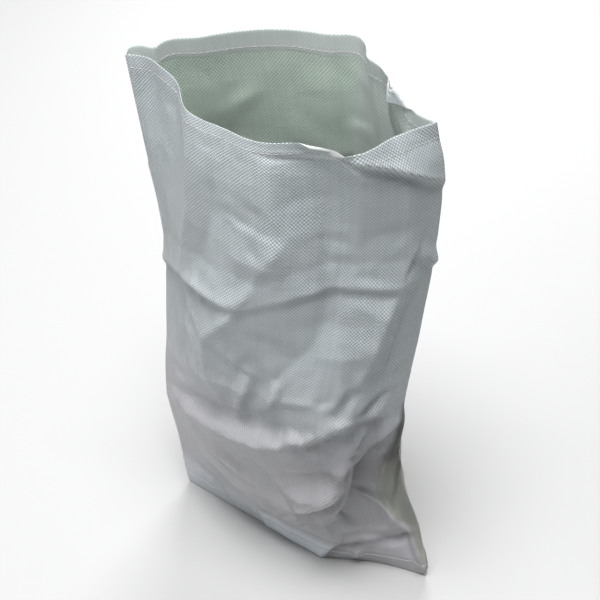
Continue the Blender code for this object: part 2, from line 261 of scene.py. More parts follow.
# %% Lines of the creases
# name: ((round, up, outward), ...), slope width above or left of the line, and below or right of it
FRONT_CREASES = {
    "side_panel": (((85, 490, 2), (105, 540, 6), (140, 615, 8), (155, 670, 8), (170, 740, 5),
                    (170, 790, 2)), 70, 50),
    "bundle_left": (((0, 455, 2), (75, 480, 6), (110, 490, 9), (155, 505, 10), (195, 512, 8),
                     (225, 512, 4), (250, 525, 2)), 45, 12),
    "bundle_right": (((260, 520, 2), (300, 540, 2), (340, 556, 3), (400, 575, 3.5), (440, 577, 4),
                      (480, 572, 4), (520, 567, 1)), 35, 12),
    "bundle_end": (((505, 628, 0), (528, 604, 4), (548, 588, 4)), 20, 12),
    "front_ridge": (((195, 285, 6), (183, 340, 14), (179, 400, 20), (186, 432, 24), (227, 480, 24),
                     (260, 532, 20), (284, 576, 15), (320, 640, 9), (306, 684, 5), (298, 730, 3),
                     (300, 780, 1)), 100, 120),
    "patch": (((220, 600, 0), (250, 595, 3), (282, 598, 3), (305, 615, 3), (320, 645, 0)), 50, 30),
    "upper_dip": (((400, 460, 0), (390, 510, -10), (380, 570, -16), (372, 640, -19), (360, 700, -15),
                   (347, 760, -3)), 65, 130),
    "patch_line": (((279, 645, 0), (275, 615, -1.5), (279, 580, 0)), 12, 12),
    "middle_ridge": (((427, 365, 4), (450, 424, 10), (461, 480, 16), (472, 528, 16), (490, 570, 6)), 90, 40),
    "middle_line": (((405, 575, 0), (409, 490, 2), (424, 400, 2), (430, 370, 0)), 20, 10),
    "flap": (((405, 786, 3), (427, 776, 7), (453, 763, 8.5), (483, 747, 8.5), (509, 732, 7), (535, 716, 4),
              (550, 706, 2)), 50, 8),
    "under_hem": (((280, 765, 0), (340, 758, -4), (390, 762, -5), (420, 750, -2)), 12, 25),
    "belly_top": (((290, 350, 0), (330, 365, 8), (380, 375, 10), (430, 370, 2)), 80, 50),
    "belly_fold_1": (((225, 290, 2), (242, 318, 6), (262, 360, 6), (275, 405, 0)), 22, 14),
    "belly_fold_2": (((290, 325, 2), (307, 345, 6), (318, 370, 6), (322, 400, 0)), 22, 12),
    "belly_line_1": (((425, 360, -3), (435, 388, -5), (450, 420, 0)), 14, 14),
    "belly_line_2": (((460, 355, -4), (487, 376, -5), (512, 393, 0)), 14, 14),
    "belly_edge": (((330, 290, 2), (368, 304, 10), (398, 323, 10), (416, 332, 9), (440, 347, 7),
                    (468, 356, 6), (498, 352, 4), (540, 340, 0)), 50, 14),
    "shelf_back": (((50, 228, -2), (110, 250, -6), (160, 266, -8), (212, 283, -10), (260, 294, -10),
                    (310, 298, -6), (350, 302, 0)), 60, 22),
    "shelf_front": (((45, 205, 2), (89, 212, 6), (141, 230, 9), (182, 240, 11), (230, 250, 12),
                     (279, 258, 12), (320, 276, 12), (355, 295, 5)), 22, 70),
    "lower_line": (((108, 164, 0), (152, 156, 3), (197, 148, 4), (245, 132, 0)), 20, 10),
    "skirt": (((80, 140, 2), (100, 130, 6), (140, 125, 8), (180, 108, 10), (230, 97, 10), (270, 90, 10),
               (320, 95, 10), (335, 108, 6)), 60, 18),
    "foot_fold": (((20, 60, 0), (55, 62, -4), (93, 62, -5), (111, 40, -3), (130, 15, 0)), 20, 12),
    "lump_back": (((250, 135, 0), (290, 158, -4), (342, 195, -4), (400, 225, -3), (420, 235, 0)), 55, 25),
    "lump_line": (((265, 197, 0), (310, 215, 1), (350, 232, 1), (405, 250, 1), (430, 250, 0)), 8, 8),
    "lump_facet": (((270, 150, 0), (295, 158, 4), (345, 168, 4), (385, 186, 0)), 45, 12),
    "lump_edge": (((310, 118, 2), (328, 132, 8), (350, 148, 12), (373, 164, 13), (398, 188, 13),
                   (412, 212, 12), (424, 246, 8), (438, 266, 4)), 140, 10),
    "hollow": (((362, 85, -4), (387, 100, -16), (416, 125, -28), (440, 155, -31), (458, 195, -26),
                (474, 235, -17), (490, 265, -6)), 30, 75),
    "hollow_top": (((440, 252, 4), (462, 276, 8), (488, 296, 9), (518, 308, 7), (545, 325, 0)), 40, 10),
    "hollow_line": (((490, 248, 0), (505, 257, 3), (520, 272, 0)), 12, 10),
    "bulge_side": (((485, 150, 4), (498, 172, 8), (513, 216, 11), (527, 248, 12), (538, 290, 7),
                    (550, 340, 0)), 45, 18),
    "knot_ridge": (((450, 152, 0), (464, 152, 6), (486, 132, 6), (510, 110, 3)), 10, 30),
    "corner_valley": (((380, 55, 0), (410, 64, -4), (450, 64, -4), (494, 67, -4), (515, 75, -4),
                       (530, 90, 0)), 18, 12),
    "corner_line": (((418, 4, 0), (416, 30, 4), (409, 60, 0)), 12, 20),
    "corner_edge": (((530, 90, 2), (540, 50, 6), (548, 10, 2)), 15, 15),
}
# The rear was hidden. It gets the folds that go on from the front, and the fold seen inside the mouth.
REAR_CREASES = {
    "inner_fold": (((825, 420, 0), (810, 520, 6), (788, 680, 8), (775, 790, 4)), 40, 30),
    "bundle_rear_1": (((580, 500, 0), (640, 508, 6), (730, 502, 8), (800, 495, 5), (840, 490, 0)), 50, 14),
    "bundle_rear_2": (((830, 475, 0), (900, 472, 7), (990, 468, 9), (1060, 460, 6), (1100, 455, 2)), 40, 14),
    "rear_ridge": (((930, 100, 4), (915, 220, 14), (900, 340, 18), (875, 460, 12), (860, 580, 0)), 100, 80),
    "rear_slope": (((730, 240, 0), (770, 320, 10), (830, 400, 12), (880, 450, 6)), 50, 90),
    "rear_fold_1": (((700, 120, 4), (760, 150, 10), (840, 160, 12), (900, 140, 6), (950, 150, 0)), 50, 18),
    "rear_fold_2": (((960, 200, 0), (1000, 230, 7), (1050, 235, 6), (1090, 220, 0)), 35, 14),
    "rear_fold_3": (((950, 660, 0), (990, 610, 6), (1030, 550, 6), (1050, 500, 0)), 50, 30),
    "side_valley": (((620, 50, -4), (635, 150, -10), (640, 260, -10), (650, 380, 0)), 45, 50),
    "side_fold": (((570, 340, 0), (600, 360, 6), (650, 355, 6), (700, 330, 0)), 30, 14),
}
print("creases", len(FRONT_CREASES), "in front and", len(REAR_CREASES), "behind")


# %% Creases on the wall
def unit(vectors):
    """The vectors at length 1."""
    return vectors / np.linalg.norm(vectors, axis=-1, keepdims=True)


def grid_normals(grid):
    """Outward normals of a grid of closed rows, from the differences between neighbours."""
    around = np.roll(grid, -1, axis=1) - np.roll(grid, 1, axis=1)
    return unit(np.cross(around, np.gradient(grid, axis=0)))


PLACES = np.stack(np.broadcast_arrays(AROUND_PLACE[None, :], ROW_HEIGHTS[:, None]), -1)


def crease(line, above, below):
    """How far one crease moves each grid point: all of its height on the line, less in proportion to the
    distance from it, and nothing from the width of that side on. Distances round the tube wrap."""
    line = np.array(line)
    nearest = np.full(PLACES.shape[:2], np.inf)
    moved = np.zeros(PLACES.shape[:2])
    for start, end in zip(line[:-1], line[1:]):
        along = end[:2] - start[:2]
        away = PLACES - start[:2]
        away[..., 0] -= ROUND * np.round(away[..., 0] / ROUND)
        part = np.clip((away @ along) / (along @ along), 0.0, 1.0)
        gap = away - part[..., None] * along
        distance = np.hypot(gap[..., 0], gap[..., 1])
        side = along[0] * gap[..., 1] - along[1] * gap[..., 0]
        slope = np.clip(1 - distance / np.where(side > 0, above, below), 0.0, 1.0)
        moved = np.where(distance < nearest, (start[2] + part * (end[2] - start[2])) * slope, moved)
        nearest = np.minimum(nearest, distance)
    return moved


def creases(table):
    """How far each line of a table moves the grid points, with its millimetres brought to metres."""
    return [crease(np.array(line) / MM, above / MM, below / MM) for line, above, below in table.values()]


def soften(field, times):
    """A quarter, a half and a quarter of neighbouring values, round and up, so many times."""
    for _ in range(times):
        field = 0.25 * np.roll(field, 1, axis=1) + 0.5 * field + 0.25 * np.roll(field, -1, axis=1)
        field[1:-1] = 0.25 * field[:-2] + 0.5 * field[1:-1] + 0.25 * field[2:]
    return field


# %% [markdown]
# ## Small creases
# Between the big folds the cloth is never quite flat: handling leaves short, shallow kinks everywhere. They
# are strewn by a seeded generator, so that each run gives the same sack, and they are deeper behind.

# %% Small creases
# how many, between which places round, greatest depth, seed
SMALL_CREASES = ((26, (0.0, FLAT_WIDTH), 0.0016, 4), (44, (0.58, 1.08), 0.0028, 9))
SMALL_UP = (0.05, 0.70)
SMALL_LENGTH = (0.04, 0.13)
SMALL_DEPTH = (0.4, 1.0)  # share of the greatest depth
SMALL_ABOVE = (0.015, 0.05)
SMALL_BELOW = (0.008, 0.02)
FLAT_FOOT = 0.02  # the sewn foot keeps the cloth flat up to about here
SHARP_ROUNDS = 12  # softening that leaves only the large part of a fold


def small_creases(count, places, depth, seed):
    """Sum of short straight creases with random places, directions, lengths, depths and widths."""
    random = np.random.default_rng(seed)
    total = np.zeros(PLACES.shape[:2])
    for _ in range(count):
        middle = np.array([random.uniform(*places), random.uniform(*SMALL_UP)])
        angle = random.uniform(0.0, math.pi)
        half = 0.5 * random.uniform(*SMALL_LENGTH) * np.array([math.cos(angle), math.sin(angle)])
        height = random.choice([-1.0, 1.0]) * depth * random.uniform(*SMALL_DEPTH)
        line = ((*(middle - half), 0.0), (*middle, height), (*(middle + half), 0.0))
        total += crease(line, random.uniform(*SMALL_ABOVE), random.uniform(*SMALL_BELOW))
    return total


relief = sum(small_creases(*row) for row in SMALL_CREASES)
for moved in creases(FRONT_CREASES | REAR_CREASES):
    relief += moved
relief = soften(relief, 1) * smoothstep(ROW_HEIGHTS / FLAT_FOOT)[:, None]
sharp_part = relief - soften(relief, SHARP_ROUNDS)
wall += relief[..., None] * grid_normals(wall)
print("creases stand out", relief.max().round(4), "and go in", relief.min().round(4))

# %% [markdown]
# ## Cloth that gives
# Pushing points out of a smooth wall stretches the cloth between them, and real tapes don't stretch: they
# buckle. So the wall is now relaxed as cloth. Every pair of neighbours is pulled to the length it had, plus
# a little slack, which throws up small facets. After each round the wall as a whole is drawn back to the
# shape above, by the mean of what it has left, so that the folds stay where they are. A coarse grid comes
# first and then finer ones, because a fine grid alone settles slowly and only wrinkles.

# %% Cloth that gives
SLACK = 0.008  # how much longer than the drawn wall the cloth is
SLACK_HEIGHTS = (0.0, 0.1, 0.5, 0.7, MOUTH)
SLACK_SHARES = (0.4, 1.0, 0.8, 0.35, 0.1)  # the hem and the bottom fold hold the cloth flat
SLACK_MEAN = 0.6
SLACK_SPREAD = 0.7
SLACK_NOISE = (5, 10, 14)  # seed, cells up, cells round
PUSH = 0.001  # first shift of the coarse grid, out or in
PUSH_NOISE = (3, 20, 28)
# links between grid points: steps up, steps round, share of the pull, and whether they only push
LINKS = ((0, 1, 1.0, False), (1, 0, 1.0, False), (1, 1, 0.3, False), (1, -1, 0.3, False),
         (0, 2, 0.02, True), (2, 0, 0.02, True))
STAGES = ((4, 150, 4), (2, 80, 8), (1, 25, 16))  # grid step, rounds, half width of the mean
COARSE = STAGES[0][0]
DRAWN_BACK = 0.15
SHARP_SHARE = 1.6  # what is put back of the sharp part of the folds


def soft_noise(shape, seed, up, around):
    """Random numbers on a coarse grid, blended between by smoothstep. It wraps round the tube."""
    coarse = np.random.default_rng(seed).standard_normal((up, around))
    row = np.linspace(0, up - 1.001, shape[0])[:, None]
    column = np.linspace(0, around, shape[1], endpoint=False)[None, :]
    low, left = row.astype(int), column.astype(int)
    rise, turn = smoothstep(row - low), smoothstep(column - left)
    below = coarse[low, left] * (1 - turn) + coarse[low, (left + 1) % around] * turn
    above = coarse[low + 1, left] * (1 - turn) + coarse[low + 1, (left + 1) % around] * turn
    return below * (1 - rise) + above * rise


def linked_pairs(shape, up, along):
    """Pairs of grid points so many rows and columns apart, in groups in which no point comes twice."""
    rows, columns = shape
    row, column = np.meshgrid(np.arange(rows - up), np.arange(columns), indexing="ij")
    first = row * columns + column
    second = (row + up) * columns + (column + along) % columns
    group = (row // up if up else column // along) % 2
    return [(first[group == key], second[group == key]) for key in (0, 1)]


def box_mean(field, half, axis):
    """Mean over 2 half + 1 cells, as the difference of two running totals."""
    pad = [(0, 0), (0, 0), (0, 0)]
    pad[axis] = (half + 1, half)
    total = np.cumsum(np.pad(field, pad, mode="wrap" if axis else "edge"), axis=axis)
    width = 2 * half + 1
    after = np.take(total, np.arange(width, width + field.shape[axis]), axis=axis)
    return (after - np.take(total, np.arange(field.shape[axis]), axis=axis)) / width


def relax(drawn, start, slack, rounds, half):
    """Moves both points of each link half way to the link's length, then draws the whole back."""
    shape = drawn.shape[:2]
    points = start.reshape(-1, 3).copy()
    flat = drawn.reshape(-1, 3)
    links = []
    for up, along, share, only_pushes in LINKS:
        for first, second in linked_pairs(shape, up, along):
            length = np.linalg.norm(flat[second] - flat[first], axis=1)
            length *= 1 + 0.5 * (slack.ravel()[first] + slack.ravel()[second])
            links.append((first, second, length, share, only_pushes))
    for _ in range(rounds):
        for first, second, length, share, only_pushes in links:
            gap = points[second] - points[first]
            pull = 0.5 * share * (1 - length / np.sqrt(np.einsum("ij,ij->i", gap, gap)))
            if only_pushes:
                pull = np.minimum(pull, 0.0)
            move = pull[:, None] * gap
            points[first] += move
            points[second] -= move
        away = drawn - points.reshape(drawn.shape)
        for axis in (1, 0, 1, 0):
            away = box_mean(away, half, axis)
        points += DRAWN_BACK * away.reshape(-1, 3)
        points[:shape[1]] = flat[:shape[1]]
    return points.reshape(drawn.shape)


def doubled(field):
    """The grid with one more row and column half way between each two."""
    rows = np.repeat(field, 2, axis=0)[:-1]
    rows[1::2] = 0.5 * (field[:-1] + field[1:])
    grid = np.repeat(rows, 2, axis=1)
    grid[:, 1::2] = 0.5 * (rows + np.roll(rows, -1, axis=1))
    return grid


def relaxed_wall(drawn):
    """The drawn wall after all stages: each starts from the shift that the coarser one before it found."""
    slack = SLACK * np.clip(SLACK_MEAN + SLACK_SPREAD * soft_noise(drawn.shape, *SLACK_NOISE), 0.0, 2.0)
    slack *= np.interp(ROW_HEIGHTS, SLACK_HEIGHTS, SLACK_SHARES)[:, None]
    coarse = drawn[::COARSE, ::COARSE]
    shift = grid_normals(coarse) * (PUSH * soft_noise(coarse.shape, *PUSH_NOISE))[..., None]
    for step, rounds, half in STAGES:
        here = drawn[::step, ::step]
        shift = relax(here, here + shift, slack[::step, ::step], rounds, half) - here
        shift = doubled(shift) if step > 1 else shift
    return drawn + shift


drawn_wall = wall
wall = relaxed_wall(drawn_wall)
print("relaxing moved the cloth by", np.linalg.norm(wall - drawn_wall, axis=2).mean().round(5), "m")
# Relaxing rounds the creases off a little, so a share of what makes them sharp is put back.
wall += (SHARP_SHARE * sharp_part)[..., None] * grid_normals(drawn_wall)

# %% [markdown]
# ## The turned lip
# In the middle of the front rim a hand's length of the hem has rolled outwards, and its inner side shows
# as a bright sliver. The upper rows of the grid follow an arc there, and the cloth keeps its length.

# %% The turned lip
LIP_FROM = (0.325, 0.365)  # along the front: where the roll begins, and where it is full
LIP_TO = (0.400, 0.430)  # where it stops being full, and where it ends
LIP_REACH = 0.013
LIP_TURN = math.radians(105.0)
LIP_NORMALS = -12  # row whose normals point the way out


def level_normals(grid, row):
    """Outward normals of one row without their part up or down, at length 1."""
    normals = grid_normals(grid)[row]
    normals[:, 2] = 0.0
    return unit(normals)


def turn_lip(grid):
    """Rolls the rim outwards: after t of the reach the angle is turn * t, and the arc's two legs are
    reach * t * sin(angle) / angle upwards and reach * t * (1 - cos(angle)) / angle outwards."""
    full = smoothstep((AROUND_PLACE - LIP_FROM[0]) / (LIP_FROM[1] - LIP_FROM[0]))
    full = full * smoothstep((LIP_TO[1] - AROUND_PLACE) / (LIP_TO[1] - LIP_TO[0]))
    t = np.clip((ROW_HEIGHTS - MOUTH + LIP_REACH) / LIP_REACH, 0.0, 1.0)[:, None]
    half = 0.5 * LIP_TURN * full[None, :] * t
    up = LIP_REACH * t * np.sinc(2 * half / np.pi)
    out = LIP_REACH * t * np.sin(half) * np.sinc(half / np.pi)
    grid = grid + out[..., None] * level_normals(grid, LIP_NORMALS)
    grid[..., 2] += up - LIP_REACH * t
    return grid


wall = turn_lip(wall)
print("lip turned by", round(math.degrees(LIP_TURN)), "degrees")

# %% [markdown]
# ## The folded ear
# At the right of the mouth a piece of the rim is folded inwards and hangs down, its outer side in view. It
# grows from nothing at the front to a few centimetres and ends at an edge. The cloth turns within a few
# millimetres and then hangs straight, so the fold is the top of the sack there.

# %% The folded ear
EAR_FROM = 0.583  # along the rim: where the ear begins, is longest and ends
EAR_LONGEST = 0.653
EAR_END = 0.662
EAR_REACH = 0.034
EAR_TURN = math.radians(170.0)
EAR_BEND = 0.006
EAR_RISE = (0.55, 0.20)  # from this height on and over this stretch the wall rises, to carry the fold
EAR_UPRIGHT = (0.66, 0.09)  # and here it turns upright under the fold
EAR_OUT = 0.005  # how far outside the rim's place the fold stands
EAR_OUT_FADES = (0.03, 0.04)  # over which it gets there, from the front and from the end
EAR_NORMALS = -40


def turn_ear(grid):
    """Folds the rim inwards. With the angle of the cloth at each height, the way in is the running sum of
    sin(angle) * step and the way up is that of cos(angle) * step."""
    growing = np.clip((AROUND_PLACE - EAR_FROM) / (EAR_LONGEST - EAR_FROM), 0.0, 1.0)
    ending = np.clip((EAR_END - AROUND_PLACE) / (EAR_END - EAR_LONGEST), 0.0, 1.0)
    reach = (EAR_REACH * growing * ending)[None, :]
    height = ROW_HEIGHTS[:, None]
    past_fold = height - MOUTH + reach
    angle = EAR_TURN * smoothstep(past_fold / EAR_BEND) * smoothstep(reach / EAR_BEND)
    step = np.gradient(ROW_HEIGHTS)[:, None]
    inward = np.cumsum(np.sin(angle) * step, axis=0)
    up = np.cumsum((np.cos(angle) - 1) * step, axis=0)
    up = up + reach * after(EAR_RISE, height)
    upright = after(EAR_UPRIGHT, height) * smoothstep(reach / EAR_BEND)
    out = EAR_OUT * after((EAR_FROM, EAR_OUT_FADES[0]), AROUND_PLACE)
    out = out * before((EAR_END, EAR_OUT_FADES[1]), AROUND_PLACE)
    normals = level_normals(grid, EAR_NORMALS)
    grid[..., :2] += upright[..., None] * (grid[-1, :, :2] + out[:, None] * normals[:, :2] - grid[..., :2])
    grid = grid - inward[..., None] * normals
    grid[..., 2] += up
    return grid


wall = turn_ear(wall)
wall[..., 2] = np.maximum(wall[..., 2], 0.0)
print("wall box", wall.min(axis=(0, 1)).round(4), wall.max(axis=(0, 1)).round(4))

# %% [markdown]
# ## A small writer of materials
# A weave is arithmetic: so many tapes to the metre, over and under in turn. So a socket is wrapped in a
# class on which + - * / add the Math nodes, and every other node comes from one method.


# %% Sockets as values
class Value:
    """An output socket of a material, for use in arithmetic."""

    def __init__(self, paint, socket):
        self.paint = paint
        self.socket = socket

    def math(self, operation, *others):
        """Math node on this value and others."""
        return self.paint.node("Math", dict(operation=operation), dict(enumerate((self, *others))))

    def clamped(self):
        """This value, but no less than 0 and no more than 1."""
        return self.math("MINIMUM", 1.0).math("MAXIMUM", 0.0)

    def __add__(self, other):
        return self.math("ADD", other)

    def __sub__(self, other):
        return self.math("SUBTRACT", other)

    def __mul__(self, other):
        return self.math("MULTIPLY", other)

    def __truediv__(self, other):
        return self.math("DIVIDE", other)

    def __rsub__(self, other):
        return self.paint.node("Math", dict(operation="SUBTRACT"), {0: other, 1: self})

    __radd__ = __add__
    __rmul__ = __mul__


class Paint:
    """A material with its node tree."""

    def __init__(self, name):
        self.material = bpy.data.materials.new(name)
        self.material.use_nodes = True
        self.tree = self.material.node_tree
        self.shader = self.tree.nodes["Principled BSDF"]
        self.end = self.tree.nodes["Material Output"]

    def feed(self, node, sockets):
        """Links each Value to its socket of the node, and sets the other sockets to their constants."""
        for key, value in sockets.items():
            if isinstance(value, Value):
                self.tree.links.new(value.socket, node.inputs[key])
            else:
                node.inputs[key].default_value = value

    def node(self, kind, settings, sockets, output=0):
        """New shader node with its settings and sockets. Gives one of its outputs."""
        node = self.tree.nodes.new("ShaderNode" + kind)
        for name, value in settings.items():
            setattr(node, name, value)
        self.feed(node, sockets)
        return Value(self, node.outputs[output])

    def blend(self, factor, first, second):
        """Colour between two colours."""
        return self.node("Mix", dict(data_type="RGBA"), {0: factor, 6: first, 7: second}, 2)

    def attribute(self, name):
        """Number that the mesh carries for each of its points."""
        return self.node("Attribute", dict(attribute_name=name), {}, 2)


def what_is_left(*losses):
    """1, less a share of each value."""
    left = 1.0
    for share, value in losses:
        left = left - share * value
    return left


# %% [markdown]
# ## The woven tapes
# The cloth is a plain weave of flat tapes, ten to the inch. Each tape passes over one neighbour and under
# the next, so the surface is a chessboard of small cushions, whose glints are painted as lighter and darker
# cushions, and each tape is a little lighter or darker than the next. Flat-sided bumps and dents a few
# centimetres wide lie over the weave. The plastic is milky: some light goes through and lights the inside.
# The inside's colour is painted light: green for that light, and grey beyond the fold at its right corner.
# Sharp creases turn whiter. The lower part is a little more purple, with a fainter weave. Painted shade
# darkens the cloth in its folds, its hollows and a few other places, where it also shines less and lets
# less light through.

# %% The woven tapes
TAPE = 0.00254
OUTER = (0.548, 0.590, 0.622, 1)
LOWER = (0.57, 0.55, 0.59, 1)
BOTTOM_BAND = (0.80, 0.84, 0.92, 1)
# painted shade: the wing lies in the shadow of the bulge, so its colour is made dark
WING_SHADE_COLOUR = (0.40, 0.40, 0.36, 1)
# painted light: the inside is coloured green for the light that comes through the cloth, and grey beyond the
# fold at the right corner
INNER_PAINTED_GREEN_LIGHT = (0.58, 0.69, 0.60, 1)
INNER_SIDE_PAINTED_LIGHT = (0.66, 0.70, 0.68, 1)
INNER_HEM = (0.70, 0.74, 0.73, 1)
WHITENED = (0.78, 0.77, 0.76, 1)
THROUGH = (0.86, 0.90, 0.87, 1)
THROUGH_SHARE = 0.28
THREAD_COLOUR = (0.56, 0.53, 0.52, 1)
THREAD_ROUGH = 0.6
LOWER_FROM = 0.44  # height below which the colour changes to that of the lower part
LOWER_FADE = 0.22
# at this fold the painted light of the inside changes from green to grey
CORNER_FOLD = 0.775  # how far round the inner side changes its colour at the rim, in a fold
CORNER_LEAN = 0.14  # how much further round that is, for each metre down
CORNER_BLEND = 0.008
TONE = 0.90  # lightness, to which the weave and the random tones below add
# painted sheen: the cushions are made lighter and darker by turns, for the glints of the tapes
WEAVE_SHEEN = 0.12  # lightness of the weave's cushions
SHEEN_CLOUDS = 0.56  # and what clouds add to it
CLOUD_TONE = 0.08
WARP_TONE = 0.07
WEFT_TONE = 0.05
WEFT_SEED = 777.0  # gives the weft other random tones than the warp
CLOUDS = 9.0  # noise cells per metre
CUSHION = 0.0004  # height of a cushion
CRUMPLES = ((15.0, 0.09), (43.0, 0.06))  # cells per metre, and the steepest slope of their sides
BENDS = 14.0  # noise cells per metre that bend the crumples' edges
BEND_REACH = 0.05
ROUGH_IN_SHADE = 0.80
UNSHADED_SHINE = 0.50  # what cloth without painted shade takes off that roughness


def crumple(paint, place, cells, slope):
    """Flat-sided bumps and dents: the distance to the edge of a Voronoi cell, times a random number of
    that cell from -1 to 1. In metres."""
    sockets = {"Vector": place, "Scale": cells}
    flat = dict(voronoi_dimensions="2D")
    edge = paint.node("TexVoronoi", dict(flat, feature="DISTANCE_TO_EDGE"), sockets)
    cell = paint.node("TexVoronoi", dict(flat, feature="F1"), sockets, 1)
    lift = paint.node("SeparateColor", {}, {0: cell}, 0)
    return edge * (2.0 * lift - 1.0) * (slope / cells)


def tape_tone(paint, tape):
    """Random number from 0 to 1 for each whole number of a tape."""
    return paint.node("TexWhiteNoise", dict(noise_dimensions="1D"), {"W": tape})


def woven_tapes():
    """Milky plastic with the weave from the map "cloth", whose units are metres round and up."""
    paint = Paint("woven_tapes")
    cloth = paint.node("UVMap", dict(uv_map="cloth"), {})
    round_ = paint.node("SeparateXYZ", {}, {0: cloth}, 0)
    up = paint.node("SeparateXYZ", {}, {0: cloth}, 1)
    warp = round_ / TAPE
    weft = up / TAPE
    over = (warp * math.pi).math("SINE") * (weft * math.pi).math("SINE")
    warp_tone = tape_tone(paint, warp.math("FLOOR"))
    weft_tone = tape_tone(paint, weft.math("FLOOR") + WEFT_SEED)
    place = paint.node("TexCoord", {}, {}, 3)
    cloudy = paint.node("TexNoise", {}, {"Vector": place, "Scale": CLOUDS, "Detail": 3.0})
    inside = paint.attribute("inside")
    inner_hem = paint.attribute("inner_hem")
    # painted shade in folds, hollows, under the flap, on the ear, the lip and low inside, read from the mesh
    unshaded = 1.0 - paint.attribute("painted_shade")
    lower = ((LOWER_FROM - up) / LOWER_FADE).clamped()
    corner = CORNER_FOLD + CORNER_LEAN * (MOUTH - up)
    beside = ((corner - round_) / CORNER_BLEND).clamped() * inside

    # painted sheen of the cushions, fainter low down, in the hem and beyond the corner fold
    weave = over * (WEAVE_SHEEN + SHEEN_CLOUDS * cloudy)
    weave = weave * what_is_left((0.7, inner_hem), (0.4, lower), (0.5, beside))
    tone = (TONE + weave + WARP_TONE * warp_tone + WEFT_TONE * weft_tone + CLOUD_TONE * cloudy) * unshaded
    colour = paint.blend(lower, OUTER, LOWER)
    colour = paint.blend(paint.attribute("bottom_band"), colour, BOTTOM_BAND)
    # painted shade of the wing at the lower right
    colour = paint.blend(paint.attribute("wing_shade"), colour, WING_SHADE_COLOUR)
    colour = paint.blend(paint.attribute("creased") * unshaded, colour, WHITENED)
    # painted light of the inside: green, and grey beyond the corner fold
    colour = paint.blend(inside, colour, paint.blend(beside, INNER_PAINTED_GREEN_LIGHT, INNER_SIDE_PAINTED_LIGHT))
    colour = paint.blend(inner_hem, colour, INNER_HEM)
    colour = paint.node("VectorMath", dict(operation="SCALE"), {0: colour, "Scale": tone})

    shift = paint.node("TexNoise", {}, {"Vector": cloth, "Scale": BENDS, "Detail": 1.0}, 1)
    bent = paint.node("VectorMath", dict(operation="MULTIPLY_ADD"),
                      {0: shift, 1: (BEND_REACH,) * 3, 2: cloth})
    height = CUSHION * over * what_is_left((0.35, lower), (0.4, beside))
    for cells, slope in CRUMPLES:
        height = height + crumple(paint, bent, cells, slope)
    height = height * what_is_left((0.5, inside), (0.3, inner_hem))
    bump = paint.node("Bump", {}, {"Height": height, "Distance": 1.0, "Strength": 1.0})

    rough = ROUGH_IN_SHADE - UNSHADED_SHINE * unshaded
    paint.feed(paint.shader, {"Base Color": colour, "Normal": bump, "Roughness": rough})
    through = paint.node("BsdfTranslucent", {}, {"Color": THROUGH})
    solid = Value(paint, paint.shader.outputs[0])
    # where shade is painted, less light goes through the cloth
    both = paint.node("MixShader", {}, {0: THROUGH_SHARE * unshaded, 1: solid, 2: through})
    paint.feed(paint.end, {"Surface": both})
    return paint.material


def plain_paint(name, colour, rough):
    """Material of one colour."""
    paint = Paint(name)
    paint.feed(paint.shader, {"Base Color": colour, "Roughness": rough})
    return paint.material


CLOTH_PAINT = woven_tapes()
THREAD_PAINT = plain_paint("sewing_thread", THREAD_COLOUR, THREAD_ROUGH)
print("materials", CLOTH_PAINT.name, THREAD_PAINT.name)

# %% [markdown]
# ## From grid to cloth
# The inner side is the outer wall moved inwards by the cloth's thickness, which is more where the hem is
# folded in, so that the fold's lower edge shows as a step inside the mouth. At the bottom fold the outer
# side stands out a little, up to the edge of the fold. The mesh also carries numbers that its material
# reads: which side a point is on, and how far it belongs to the hem, to the bottom fold, to the painted
# shade of the wing at the lower right, to the painted shade of a fold or to a whitened crease.


# %% From grid to cloth
def tube_faces(rows, columns):
    """Quads between rows of points that close on themselves."""
    row, column = np.meshgrid(np.arange(rows - 1), np.arange(columns), indexing="ij")
    after = (column + 1) % columns
    return np.stack([row * columns + column, row * columns + after,
                     (row + 1) * columns + after, (row + 1) * columns + column], -1).reshape(-1, 4)


def add_mesh(name, points, faces, material):
    """Mesh piece at the origin, shaded smooth, riding on the sack's one body."""
    mesh = bpy.data.meshes.new(name)
    mesh.from_pydata(points.tolist(), [], faces)
    mesh.materials.append(material)
    mesh.update()
    mesh.shade_smooth()
    piece = add_object(name, mesh)
    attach(piece, "root")
    return piece


def add_number(mesh, name, outer, inner):
    """Number for each point of both sides of the mesh, for its material to read."""
    values = np.concatenate([outer, inner[::-1]]).astype(np.float32)
    mesh.attributes.new(name, "FLOAT", "POINT").data.foreach_set("value", values.ravel())


# %% The cloth
CLOTH = 0.0005
HEM_FOLD = 0.0006  # what the folded hem adds inside
RIM_EDGE = 0.001  # the hem ends so far below the rim
BOTTOM_FOLD = 0.0032  # what the bottom fold adds outside
BOTTOM_FOLD_TOP = 0.045
BOTTOM_FOLD_EDGE = 0.004  # height of the step at its top
BAND_FROM = (0.195, 0.012)  # how far round the bottom fold shows in front: where from, and its blend
BAND_TO = (0.347, 0.006)  # and where to, at the floor
BAND_LEAN = 0.75  # how much further round that is, for each metre up
LEFT_TINT = 0.6  # share of the bottom fold's tint at the lower left
LEFT_TINT_UP = (0.08, 0.05)
LEFT_TINT_ROUND = (0.21, 0.03)
WHITE_FROM = 0.00035  # bend at which a crease begins to turn white
WHITE_SPAN = 0.0012
WHITE_SHARE = 0.5

# %% Painted shade
# The wing is the cloth beyond the bulge at the lower right, painted dark for the bulge's shadow. Its edge
# has these places round and up.
WING_EDGE = ((548, 0), (541, 50), (530, 100), (512, 110), (490, 130), (483, 150), (493, 172), (508, 216),
             (522, 248), (532, 290), (546, 340))
WING_EDGE_BLEND = 0.006
WING_BEHIND = (0.59, 0.04)
WING_TOP = (0.35, 0.06)
